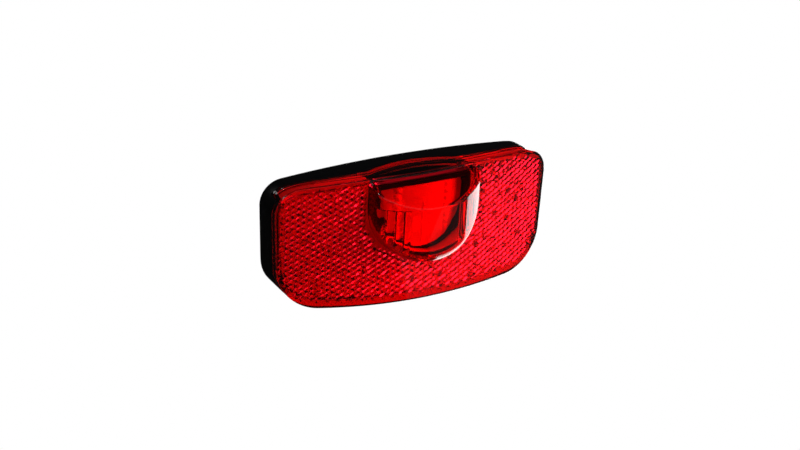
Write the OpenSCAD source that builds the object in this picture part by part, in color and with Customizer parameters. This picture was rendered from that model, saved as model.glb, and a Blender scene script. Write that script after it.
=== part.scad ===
// Rack-mounted bicycle rear light: a wide red reflex lens with a clear dome over the lamp unit,
// closed at the back by a black housing that carries the circuit board and two rack studs.
// Millimetres. +Z is up, the lens faces -Y, and the origin is on the flat back of the housing,
// midway between the two studs.

/* [Lens] */
// Width of the lens across its upper corners
lens_w = 100; // [92:0.5:112]
// Height of the lens at its middle, half of it above the studs
lens_h = 46.5; // [43:0.5:52]
// How much narrower the lens is at its foot, each side
lens_taper = 1; // [0:0.1:2]
// Radius of the front, seen from above
plan_r = 168; // [140:1:220]
// Radius of the crowned top edge, seen from the front
top_bow_r = 484; // [350:2:900]
// Radius of the crowned bottom edge, seen from the front
bottom_bow_r = 520; // [350:2:900]
// Radius of the upper corners
top_corner_r = 9; // [7:0.5:12]
// Radius of the lower corners at the front
bottom_corner_r = 15; // [12:0.5:20]
// Thickness of the front plate with its prisms
plate_t = 3; // [2.4:0.1:3.6]
// Wall of the lens where it wraps over the top
lens_wall = 1.6; // [1.2:0.1:2]
// How far the lens wraps back over the top
top_skirt = 8.5; // [7:0.1:10]
// How far the lens wraps back at the sides and foot
side_skirt = 3.3; // [3.1:0.1:4]
// Height above the studs where the deep top skirt ends
skirt_foot = 16.5; // [14:0.5:18]
// How far the arched window reaches back over the lamp unit
arch_depth = 13.4; // [12:0.1:15]
// Radius of the arched window, seen from above
arch_r = 44; // [34:1:60]

/* [Dome] */
// Width of the dome
dome_w = 39; // [34:0.5:42]
// How far the dome's foot lies below the studs
dome_drop = 7; // [3:0.5:9]
// How far the dome stands out of the front plate
dome_out = 11.8; // [8:0.1:13]
// Rounding of the dome's edge at its sides and foot
dome_edge = 5; // [4:0.5:7]
// Radius of the dome's front, seen from above
dome_bow_r = 28; // [24:1:60]
// Slope of the dome's top, in degrees
dome_slope = 32; // [10:1:40]
// How far the dome's top runs level before it slopes
dome_brow = 0.3; // [0.2:0.1:3]
// Wall of the dome
dome_wall = 1.8; // [1.4:0.1:2.4]
// How far the dome's top lies below the crown of the lens
dome_lip = 0.9; // [0.8:0.1:1.5]

/* [Housing] */
// Depth from the flat back to the middle of the front plate
body_depth = 23; // [22:0.5:28]
// Wall of the housing's sides
wall = 2; // [1.6:0.1:2.4]
// Thickness of the flat back
back_t = 2; // [1.6:0.1:2.6]
// How much lower the top is at the back
back_drop = 2.3; // [1:0.1:3]
// How much higher the foot is at the back
back_rise = 1.5; // [1:0.1:4]
// How much the sides draw in at the back
back_inset = 0.2; // [0.2:0.1:1.5]
// Radius of the lower corners at the back
back_corner_r = 12; // [9:0.5:20]
// Rounding of the back's edge
back_round = 3; // [2:0.1:4]
// Gap of the seam between lens and housing
seam = 0.3; // [0.2:0.05:0.5]

/* [Lamp unit] */
// Wall of the bezel round the optic
bezel_wall = 1.2; // [1:0.1:1.6]
// Gap between the bezel and the dome's inside
bezel_gap = 0.5; // [0.4:0.05:0.8]
// How far the bezel's rim stands in front of the front plate
bezel_out = 0; // [0:0.1:3]
// Distance from the top of the lens down to the bezel's roof
bezel_top = 3.45; // [3.45:0.05:5]
// Thickness of the bezel's floor
bezel_floor = 1.2; // [1:0.1:1.6]
// Gap between the optic and the bezel
optic_gap = 0.3; // [0.2:0.05:0.5]
// Thickness of the optic at its edge
optic_edge = 3; // [2.4:0.1:4]
// Bulge of the optic's front
optic_bulge = 3.6; // [2:0.1:4]
// Diameter of an LED's bulb
led_d = 5; // [4.6:0.1:5.4]
// Height of an LED above the board
led_h = 5; // [4.6:0.1:5.6]
// Sideways distance of the two upper LEDs from the middle
led_spread = 7; // [6.4:0.1:8]
// Height of the upper LEDs above the studs
led_high = 10; // [9.5:0.1:11]
// Height of the lower LED above the studs
led_low = 3; // [2:0.1:4]

/* [Circuit board] */
// Thickness of the board
board_t = 1.6; // [1.2:0.2:2]
// Top edge of the board above the studs
board_top = 14; // [13.5:0.1:15]
// Distance from the foot of the lens up to the board's foot
board_foot = 4.75; // [4.5:0.05:5.25]
// Height of the posts that carry the board
post_h = 10; // [9:0.5:11]
// Radius of a post
post_r = 2.6; // [2.2:0.1:3]
// Gap between the LEDs' board and the bezel's floor
board_gap = 2.2; // [2:0.1:2.6]
// Diameter of the stand-light capacitor
cap_d = 13; // [11:0.5:13.5]
// Height of the stand-light capacitor
cap_h = 7.5; // [5:0.5:8]

/* [Terminals] */
// Width of a terminal blade
blade_w = 4.8; // [4:0.1:6.3]
// Thickness of a terminal blade
blade_t = 0.8; // [0.5:0.1:1]
// How far the blades stand out of the back
blade_out = 7.5; // [6:0.5:10]
// Sideways distance of each blade from the middle
blade_x = 6; // [5.5:0.1:7]
// Distance from the blades down to the foot of the lens
blade_drop = 8.25; // [7.75:0.05:8.75]

/* [Rack studs] */
// Distance between the two studs
stud_spacing = 80; // [70:0.5:82]
// Thread diameter of a stud
stud_d = 5; // [4:0.5:6]
// How much thicker a stud's collar is than its thread, on each side
stud_collar = 0.6; // [0.4:0.1:0.7]
// How far the studs stand out of the back
stud_out = 10.5; // [10:0.5:25]
// Width of a stud's hexagon head across its flats
stud_af = 8; // [7:0.5:9]
// Height of a stud's hexagon head
stud_head = 3.5; // [3:0.1:4]

/* [Lens screws] */
// Thread diameter of a lens screw
screw_d = 2.2; // [2:0.1:2.4]
// Head diameter of a lens screw
screw_head_d = 4.2; // [3.8:0.1:4.4]
// Head height of a lens screw
screw_head_h = 1.6; // [1.4:0.1:1.8]
// Length of a lens screw below its head
screw_len = 10; // [8:0.5:11]
// Height of the lens screws above the studs
screw_z = 7; // [5:0.1:8]
// Radius of the lens screws' bosses
boss_r = 2.5; // [2.2:0.1:2.8]

/* [Clearances] */
// Radial room of a screw in its thread hole
thread_room = 0.08; // [0.05:0.01:0.1]
// Radial room of a screw or LED in a through hole
hole_room = 0.25; // [0.15:0.05:0.35]
// Room between the lens unit's inner pieces and the housing
inner_room = 0.4; // [0.3:0.05:0.6]
// Gap between parts that seat on each other
seat_gap = 0.1; // [0.05:0.05:0.15]

/* [Hidden] */
$fn = 64;

// Thin slabs that a hull spans, and the reach of cutting blocks
slab_t = 0.02;
reach = 200;
// How far a cut runs past a face, and how far a shank runs into its head
cut = 1;
join = 0.2;
// Segments of the large bow cylinders, and points on an outline's long and short arcs
bow_fn = 360;
long_n = 14;
corner_n = 10;
u_n = 24;
dome_steps = 5;
nose_fn = 96;

// Edges of the front outline
top_z = lens_h / 2;
bottom_z = -lens_h / 2;

// Heights that follow those edges: the bezel's roof, the board's foot and the blades
roof_z = top_z - bezel_top;
board_low = bottom_z + board_foot;
blade_z = bottom_z + blade_drop;

// Where the back's rounding has its middle step, as a share and as a depth
round_share = 0.3;
round_mid = round_share * back_round;

// Plate left behind the dome's root, how far the dome's edge runs past its front, and the dome's round foot
// and top
root_short = 0.6;
dome_root = plate_t - root_short;
nose_room = 0.4;
dome_r = dome_w / 2;
dome_cz = dome_r - dome_drop;
dome_top = top_z - dome_lip;

// Places along the depth, from the back forwards
board_back = -back_t - post_h;
board_front = board_back - board_t;
floor_back = board_front - board_gap;
floor_front = floor_back - bezel_floor;
front_y = -body_depth;
rim_y = front_y - bezel_out;

// The backing plate behind the prisms, and the seal behind it
backing_gap = 0.2;
backing_t = 1.2;
backing_back = plate_t + backing_gap + backing_t;
seal_t = 1.2;
seal_w = 1.4;
ledge_front = backing_back + seat_gap + seal_t;
ledge_t = 1.5;

// Bosses that take the lens screws, beside the dome, and the tubes that meet them
boss_sink = 0.6;
boss_stop = 4;
tube_wall = 1.2;
drill_room = 0.5;
boss_x = dome_r + boss_r - boss_sink;
boss_end = -back_t - boss_stop;
tube_r = screw_head_d / 2 + tube_wall;
tube_end = boss_end + seat_gap;

// Cross recess of a screw head, in shares of the head's diameter
recess_arm = 0.32;
recess_slot = 0.09;
recess_depth = 0.18;

// The board fits between the lens bosses
board_w = 2 * (boss_x - boss_r - 2 * inner_room);
post_side = 0.6;
post_end = 1;
post_x = board_w / 2 - post_r - post_side;
post_low = board_low + post_r + post_end;
post_high = board_top - post_r - post_end;
board_screw_d = 2;
board_screw_head_d = 3.8;
board_screw_head_h = 1.3;
board_screw_len = 7;
board_screw_tip = board_back + board_screw_len - drill_room;

// Parts on the back of the board, each as width, height above the board and length
pad_inset = 1.5;
part_gap = 1;
small_cap_d = 5;
small_cap_h = 6;
rectifier = [5, 2.5, 6];
chip = [5, 1.6, 4];
resistor = [1.6, 0.6, 3.2];
resistor_x = [-9, -6, 6, 9];
logic_z = -7;
diode_d = 2.4;
diode_len = 4.8;
diode_x = 5;
diode_edge = 2;

// Bezel, optic and LED places
bezel_r = dome_r - dome_wall - bezel_gap;
optic_r = bezel_r - bezel_wall - optic_gap;
optic_top = roof_z - bezel_wall - optic_gap;
leg_r = 1.2;
leg_edge = 0.6;
leg_inset = 5.5;
tip_room = 0.6;
led_rim = 0.4;
led_rim_h = 1;
led_places = [[-led_spread, led_high], [led_spread, led_high], [0, led_low]];
leg_x = bezel_r - leg_inset;
leg_places = [[0, board_top - leg_r - leg_edge], [-leg_x, led_low], [leg_x, led_low]];

// Captive heads of the studs
stud_x = stud_spacing / 2;
collar_r = stud_d / 2 + stud_collar;
head_room = 0.1;
pocket_wall = 2;
cap_plate = 1.2;
pocket_lip = 0.3;
pocket_h = stud_head + cap_plate + pocket_lip;

// Rubber grommet round the blades, and the rib that keeps them apart outside
grommet_t = 2.5;
grommet_rim = 2.4;
grommet_side = 1.4;
rib_t = 1.6;
rib_h = 6;
rib_out = 4.5;

// Points of an arc round c, from angle a0 to a1
function arc(c, r, a0, a1, n) =
    [for (i = [0:n]) let (a = a0 + (a1 - a0) * i / n) c + r * [cos(a), sin(a)]];

// Outline seen from the front: crowned top and foot, four round corners, all drawn in by d;
// low_r is the radius of the two lower corners
function outline(half_w, low_r, zt, zb, d) =
    let (
        xt = half_w - top_corner_r,
        xb = half_w - lens_taper - low_r,
        ct = zt - top_bow_r + sqrt(pow(top_bow_r - top_corner_r, 2) - xt * xt),
        cb = zb + bottom_bow_r - sqrt(pow(bottom_bow_r - low_r, 2) - xb * xb),
        at = acos(xt / (top_bow_r - top_corner_r)),
        ab = acos(xb / (bottom_bow_r - low_r)),
        rt = top_corner_r - d,
        rb = low_r - d
    )
    concat(
        arc([xt, ct], rt, 0, at, corner_n),
        arc([0, zt - top_bow_r], top_bow_r - d, at, 180 - at, long_n),
        arc([-xt, ct], rt, 180 - at, 180, corner_n),
        arc([-xb, cb], rb, 180, 180 + ab, corner_n),
        arc([0, zb + bottom_bow_r], bottom_bow_r - d, 180 + ab, 360 - ab, long_n),
        arc([xb, cb], rb, 360 - ab, 360, corner_n)
    );
function front_outline(d) = outline(lens_w / 2, bottom_corner_r, top_z, bottom_z, d);
function back_outline(d) =
    outline(lens_w / 2 - back_inset, back_corner_r, top_z - back_drop, bottom_z + back_rise, d);

// U-shaped outline of radius r with a flat top at height zt
function u_outline(r, zt) = concat([[r, zt], [-r, zt]], arc([0, dome_cz], r, 180, 360, u_n));

// An outline in x and z, drawn out from y0 to y1
module slab(points, y0, y1) {
    translate([0, y1, 0])
        rotate([90, 0, 0])
            linear_extrude(y1 - y0)
                polygon(points);
}

// A rod along y at x and z
module rod(x, z, y0, y1, r, sides = 64) {
    translate([x, y1, z])
        rotate([90, 0, 0])
            cylinder(r = r, h = y1 - y0, $fn = sides);
}

// A box from its lowest to its highest corner
module block(low, high) {
    translate(low)
        cube(high - low);
}

// Everything behind the bowed front, set back by d
module bow(d) {
    translate([0, front_y + plan_r, 0])
        cylinder(r = plan_r - d, h = reach, center = true, $fn = bow_fn);
}

// Outer form of lens and housing together
module envelope() {
    hull() {
        slab(front_outline(0), front_y, front_y + slab_t);
        slab(back_outline(0), -back_round - slab_t, -back_round);
        slab(back_outline(round_mid), -round_mid - slab_t, -round_mid);
        slab(back_outline(back_round), -slab_t, 0);
    }
}

// The same form drawn in by d, from in front of the plate to y = end
module inside(d, end) {
    hull() {
        slab(front_outline(d), front_y, front_y + slab_t);
        slab(back_outline(d), end - slab_t, end);
    }
}

// The part of the form that is the housing's: behind the skirt, and clear of the arched window
module housing_zone(gap) {
    intersection() {
        bow(side_skirt + gap);
        union() {
            block([-reach, -reach, -reach], [reach, reach, skirt_foot - gap]);
            difference() {
                bow(top_skirt + gap);
                arch(gap);
            }
        }
    }
}

// Column below the arched window in the top
module arch(gap) {
    translate([0, front_y + arch_depth - arch_r, skirt_foot - gap])
        cylinder(r = arch_r + gap, h = reach, $fn = bow_fn);
}

// Everything below the dome's sloping top, drawn in by d
module below_slope(d) {
    translate([0, front_y - dome_brow, dome_top - d / cos(dome_slope)])
        rotate([dome_slope, 0, 0])
            block([-reach, -reach, -reach], [reach, reach, 0]);
}

// Dome form: a U-shaped pillow with a bowed front and a sloping top, drawn in by d on every side
module dome(d, start) {
    intersection() {
        hull() {
            slab(u_outline(dome_r - d, dome_top - d), start - slab_t, start);
            for (i = [0:dome_steps])
                let (
                    a = 90 * i / dome_steps,
                    in_d = d + dome_edge * (1 - cos(a)),
                    y = front_y - (dome_out + nose_room - d) * sin(a)
                )
                slab(u_outline(dome_r - in_d, dome_top - in_d), y - slab_t, y);
        }
        translate([0, front_y - dome_out + dome_bow_r, 0])
            cylinder(r = dome_bow_r - d, h = reach, center = true, $fn = nose_fn);
        below_slope(d);
    }
}

// Space of the lamp unit, cut through the plate and what lies behind it
module lamp_space(d, y0, y1) {
    slab(u_outline(dome_r - d, reach), y0, y1);
}

module rear_housing() {
    color("#17171a")
    difference() {
        union() {
            // Shell
            difference() {
                intersection() {
                    envelope();
                    housing_zone(seam);
                }
                inside(wall, -back_t);
            }
            // Ledge behind the seal, open at the lamp unit
            difference() {
                intersection() {
                    inside(wall - seat_gap, -back_t);
                    bow(ledge_front);
                    housing_zone(seam);
                }
                inside(wall + inner_room + seal_w, -back_t);
                translate([0, ledge_t, 0])
                    bow(ledge_front);
                lamp_space(-seal_w, front_y, 0);
            }
            // Posts for the board, sockets for the stud heads, tubes for the lens screws
            for (x = [-post_x, post_x])
                for (z = [post_low, post_high])
                    rod(x, z, board_back, -back_t / 2, post_r);
            for (x = [-stud_x, stud_x])
                rod(x, 0, -back_t - pocket_h, -back_t / 2, stud_af / sqrt(3) + pocket_wall);
            for (x = [-boss_x, boss_x])
                rod(x, screw_z, tube_end, -back_t / 2, tube_r);
            // Rib between the two blades
            block(
                [-rib_t / 2, -back_t / 2, blade_z - rib_h / 2],
                [rib_t / 2, rib_out, blade_z + rib_h / 2]
            );
        }
        for (x = [-post_x, post_x])
            for (z = [post_low, post_high])
                rod(x, z, board_back - cut, board_back + board_screw_len, board_screw_d / 2 + thread_room);
        for (x = [-stud_x, stud_x]) {
            rod(x, 0, -reach, -back_t, stud_af / sqrt(3) + head_room, 6);
            rod(x, 0, -reach, cut, collar_r + hole_room);
        }
        for (x = [-boss_x, boss_x]) {
            rod(x, screw_z, -reach, cut, screw_d / 2 + hole_room);
            rod(x, screw_z, -back_t, cut, screw_head_d / 2 + hole_room);
        }
        for (x = [-blade_x, blade_x])
            block(
                [x - blade_w / 2 - hole_room, -back_t - cut, blade_z - blade_t / 2 - hole_room],
                [x + blade_w / 2 + hole_room, cut, blade_z + blade_t / 2 + hole_room]
            );
    }
}

module front_lens() {
    color([0.8, 0.02, 0.06, 0.8])
    difference() {
        union() {
            difference() {
                union() {
                    intersection() {
                        envelope();
                        bow(0);
                    }
                    dome(0, front_y + dome_root);
                }
                // Hollow behind the plate
                intersection() {
                    inside(lens_wall, -back_t);
                    bow(plate_t);
                }
                housing_zone(0);
                dome(dome_wall, front_y + plate_t + 2 * cut);
            }
            // Bosses that take the lens screws
            intersection() {
                for (x = [-boss_x, boss_x])
                    rod(x, screw_z, front_y, boss_end, boss_r);
                bow(plate_t / 2);
            }
        }
        for (x = [-boss_x, boss_x])
            rod(x, screw_z, -back_t - screw_len - drill_room, 0, screw_d / 2 + thread_room);
    }
}

module reflex_backing() {
    color("#7d0f16")
    difference() {
        intersection() {
            inside(wall + inner_room, -back_t);
            bow(plate_t + backing_gap);
        }
        bow(backing_back);
        lamp_space(dome_wall, -reach, 0);
        for (x = [-boss_x, boss_x])
            rod(x, screw_z, -reach, 0, boss_r + seat_gap);
    }
}

module seal_strip() {
    color("#2b2b2d")
    difference() {
        intersection() {
            inside(wall + inner_room, -back_t);
            bow(ledge_front - seal_t);
        }
        inside(wall + inner_room + seal_w, -back_t);
        bow(ledge_front);
        lamp_space(-seal_w, -reach, 0);
    }
}

module led_bezel() {
    color("#101012")
    difference() {
        union() {
            intersection() {
                slab(u_outline(bezel_r, roof_z), rim_y, floor_back);
                below_slope(dome_wall + bezel_gap);
            }
            for (p = leg_places)
                rod(p[0], p[1], floor_back - bezel_floor / 2, board_front, leg_r);
        }
        slab(u_outline(bezel_r - bezel_wall, roof_z - bezel_wall), rim_y - cut, floor_front);
        for (p = led_places)
            rod(p[0], p[1], floor_front - cut, floor_back + cut, led_d / 2 + hole_room);
    }
}

module led_optic() {
    color("#ff2a10")
    difference() {
        intersection() {
            slab(u_outline(optic_r, optic_top), floor_front - optic_edge - optic_bulge, floor_front);
            // Barrel front, highest along the upright middle line
            optic_bow_r = (optic_r * optic_r + optic_bulge * optic_bulge) / (2 * optic_bulge);
            translate([0, floor_front - optic_edge - optic_bulge + optic_bow_r, 0])
                cylinder(r = optic_bow_r, h = reach, center = true, $fn = bow_fn);
        }
        for (p = led_places)
            rod(p[0], p[1], board_front - led_h - tip_room, floor_front + cut, led_d / 2 + hole_room);
    }
}

// Round LED: a bulb with a domed tip on a thin rim, standing on the board
module led(p) {
    rim_r = led_d / 2 + led_rim;
    color("#f4e9d8")
    translate([p[0], board_front, p[1]])
        rotate([90, 0, 0])
            rotate_extrude()
                polygon(concat(
                    [[0, 0], [rim_r, 0], [rim_r, led_rim_h], [led_d / 2, led_rim_h]],
                    arc([0, led_h - led_d / 2], led_d / 2, 0, 90, corner_n)
                ));
}

module led_left() {
    led(led_places[0]);
}

module led_right() {
    led(led_places[1]);
}

module led_lower() {
    led(led_places[2]);
}

module circuit_board() {
    color("#1d6b3a")
    difference() {
        block([-board_w / 2, board_front, board_low], [board_w / 2, board_back, board_top]);
        for (x = [-post_x, post_x])
            for (z = [post_low, post_high])
                rod(x, z, board_front - cut, board_back + cut, board_screw_d / 2 + hole_room);
    }
}

module board_screws() {
    color("#b8bcc2")
    for (x = [-post_x, post_x])
        for (z = [post_low, post_high])
            difference() {
                union() {
                    rod(x, z, board_front - board_screw_head_h, board_front, board_screw_head_d / 2);
                    rod(x, z, board_front - join, board_screw_tip, board_screw_d / 2);
                }
                cross_recess(x, z, board_front - board_screw_head_h, board_screw_head_d, -1);
            }
}

// Cross recess in a screw head whose face lies at y; side is the way the face looks
module cross_recess(x, z, y, head_d, side) {
    arm = head_d * recess_arm;
    slot = head_d * recess_slot;
    depth = head_d * recess_depth;
    y0 = side < 0 ? y - cut : y - depth;
    y1 = side < 0 ? y + depth : y + cut;
    block([x - arm, y0, z - slot], [x + arm, y1, z + slot]);
    block([x - slot, y0, z - arm], [x + slot, y1, z + arm]);
}

// A flat part on the back of the board, centred at x and z
module on_board(x, z, size) {
    block(
        [x - size[0] / 2, board_back, z - size[2] / 2],
        [x + size[0] / 2, board_back + size[1], z + size[2] / 2]
    );
}

module standlight_capacitor() {
    color("#24262b")
    rod(0, led_low, board_back, board_back + cap_h, cap_d / 2);
}

module capacitor_pad() {
    color("#4a4a4c")
    rod(0, led_low, board_back + cap_h, -back_t, cap_d / 2 - pad_inset);
}

module smoothing_capacitor() {
    x = cap_d / 2 + part_gap + small_cap_d / 2;
    color("#20242c")
    rod(x, led_low, board_back, board_back + small_cap_h, small_cap_d / 2);
}

module bridge_rectifier() {
    color("#1c1c1e")
    on_board(-cap_d / 2 - part_gap - rectifier[0] / 2, led_low, rectifier);
}

module controller_chip() {
    color("#161618")
    on_board(0, logic_z, chip);
}

module resistors() {
    color("#2a2622")
    for (x = resistor_x)
        on_board(x, logic_z, resistor);
}

module surge_diodes() {
    color("#5a5d63")
    for (x = [-diode_x, diode_x])
        translate([x - diode_len / 2, board_back + diode_d / 2, board_top - diode_edge])
            rotate([0, 90, 0])
                cylinder(r = diode_d / 2, h = diode_len);
}

module blade(x) {
    tip = 1;
    color("#cdbb7a")
    translate([x, 0, blade_z - blade_t / 2])
        linear_extrude(blade_t)
            polygon([
                [-blade_w / 2, board_back], [blade_w / 2, board_back],
                [blade_w / 2, blade_out - tip], [blade_w / 2 - tip, blade_out],
                [-blade_w / 2 + tip, blade_out], [-blade_w / 2, blade_out - tip]
            ]);
}

module live_terminal() {
    blade(-blade_x);
}

module earth_terminal() {
    blade(blade_x);
}

module terminal_grommet() {
    half_w = blade_x + blade_w / 2 + grommet_side;
    half_h = blade_t / 2 + grommet_rim;
    color("#343436")
    difference() {
        block(
            [-half_w, -back_t - grommet_t, blade_z - half_h],
            [half_w, -back_t, blade_z + half_h]
        );
        for (x = [-blade_x, blade_x])
            block(
                [x - blade_w / 2 - seat_gap, -reach, blade_z - blade_t / 2 - seat_gap],
                [x + blade_w / 2 + seat_gap, reach, blade_z + blade_t / 2 + seat_gap]
            );
    }
}

module rack_studs() {
    color("#c3c6cb")
    for (x = [-stud_x, stud_x]) {
        rod(x, 0, -back_t - stud_head, -back_t, stud_af / sqrt(3), 6);
        rod(x, 0, -back_t - stud_head / 2, 0, collar_r);
        rod(x, 0, -join, stud_out, stud_d / 2);
    }
}

module stud_caps() {
    color("#2c2c2e")
    for (x = [-stud_x, stud_x])
        rod(x, 0, -back_t - stud_head - cap_plate, -back_t - stud_head, stud_af / sqrt(3), 6);
}

// Lens screw with its head let into the back
module lens_screw(x) {
    color("#b0b4ba")
    difference() {
        union() {
            rod(x, screw_z, -back_t, -back_t + screw_head_h, screw_head_d / 2);
            rod(x, screw_z, -back_t - screw_len, -back_t + join, screw_d / 2);
        }
        cross_recess(x, screw_z, -back_t + screw_head_h, screw_head_d, 1);
    }
}

module lens_screw_left() {
    lens_screw(-boss_x);
}

module lens_screw_right() {
    lens_screw(boss_x);
}

rear_housing();
front_lens();
reflex_backing();
seal_strip();
led_bezel();
led_optic();
led_left();
led_right();
led_lower();
circuit_board();
board_screws();
standlight_capacitor();
capacitor_pad();
smoothing_capacitor();
bridge_rectifier();
controller_chip();
resistors();
surge_diodes();
live_terminal();
earth_terminal();
terminal_grommet();
rack_studs();
stud_caps();
lens_screw_left();
lens_screw_right();
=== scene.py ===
"""Looks of a rack-mounted bicycle rear light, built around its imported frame.

The lens, its prisms, its screw bosses, the optic and the studs are modelled here; the other pieces keep
their solids and get a finish. Metres throughout, +Z up, the lens faces -Y.
"""
import math

import bpy
import numpy as np
from bpy.props import FloatProperty, FloatVectorProperty, IntProperty, PointerProperty
from mathutils import Matrix, Vector
from mathutils.geometry import delaunay_2d_cdt


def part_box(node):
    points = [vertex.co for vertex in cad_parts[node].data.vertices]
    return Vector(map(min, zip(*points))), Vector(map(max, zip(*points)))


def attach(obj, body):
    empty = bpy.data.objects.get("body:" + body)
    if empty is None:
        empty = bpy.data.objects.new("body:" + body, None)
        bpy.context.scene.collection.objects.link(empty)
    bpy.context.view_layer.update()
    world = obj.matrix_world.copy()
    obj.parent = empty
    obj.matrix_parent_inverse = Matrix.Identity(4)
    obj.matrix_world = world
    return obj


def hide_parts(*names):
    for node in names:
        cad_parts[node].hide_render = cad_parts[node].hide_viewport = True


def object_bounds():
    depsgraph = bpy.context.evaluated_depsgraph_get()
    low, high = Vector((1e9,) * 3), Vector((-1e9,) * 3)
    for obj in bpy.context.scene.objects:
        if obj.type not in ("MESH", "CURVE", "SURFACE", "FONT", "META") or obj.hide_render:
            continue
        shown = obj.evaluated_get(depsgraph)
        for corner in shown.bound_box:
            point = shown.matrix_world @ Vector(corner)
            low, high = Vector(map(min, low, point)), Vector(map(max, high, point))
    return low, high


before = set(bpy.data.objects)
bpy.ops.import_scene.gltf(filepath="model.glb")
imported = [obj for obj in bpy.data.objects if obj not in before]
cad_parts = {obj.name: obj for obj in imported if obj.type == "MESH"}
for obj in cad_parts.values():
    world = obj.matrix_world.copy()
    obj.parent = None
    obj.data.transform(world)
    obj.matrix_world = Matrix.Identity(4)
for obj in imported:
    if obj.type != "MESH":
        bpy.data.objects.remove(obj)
CAD_BOX = [list(corner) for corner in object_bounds()]

bl_info = {
    "name": "Rear light looks",
    "version": (1, 0, 0),
    "blender": (4, 5, 0),
    "location": "View3D > Sidebar > Rear Light",
    "description": "Models the lens, lamp unit and finishes of a bicycle rear light",
    "category": "Object",
}

MM = 0.001
TAU = 2 * math.pi
FLOAT, COLOUR = "NodeSocketFloat", "NodeSocketColor"
PICTURE_WIDTH, PICTURE_HEIGHT = 800, 450

# Points round each ring of the lens
SPOKES = 480
# Borders of the bands inside the skirt, as shares of the way from its rear edge forward
BANDS = (0, 0.16, 0.26, 0.5, 0.6, 1)
# Numbers of the lens's finishes; the third is a darker copy of the frosted one that paints shade
# The frosted finish also paints light: a crescent inside the dome's foot
CLEAR, FROST_AND_PAINTED_LIGHT, SHADED_FROST = 0, 1, 2
# Room that keeps the modelled lens inside its solid's box
HAIR = 0.001 * MM
PLATE_FRONT = 23 * MM
GRAIN_HEIGHT = 0.1 * MM

LENS_LOW, LENS_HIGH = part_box("front_lens")
OPTIC_LOW, OPTIC_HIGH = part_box("led_optic")
SCREW_LOW, SCREW_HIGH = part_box("lens_screw_right")
STUDS_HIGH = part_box("rack_studs")[1]


def length(name, description, default):
    """A size in metres."""
    return FloatProperty(name=name, description=description, default=default, unit="LENGTH", precision=5)


def angle(name, description, degrees):
    """An angle, given in degrees."""
    return FloatProperty(name=name, description=description, default=math.radians(degrees), subtype="ANGLE")


def picture_share(name, description, pixels):
    """A length in the picture, given in pixels and kept in picture widths."""
    return FloatProperty(name=name, description=description, default=pixels / PICTURE_WIDTH)


def colour(name, description, default):
    """A linear colour."""
    return FloatVectorProperty(name=name, description=description, default=default, subtype="COLOR", size=3)


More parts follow.
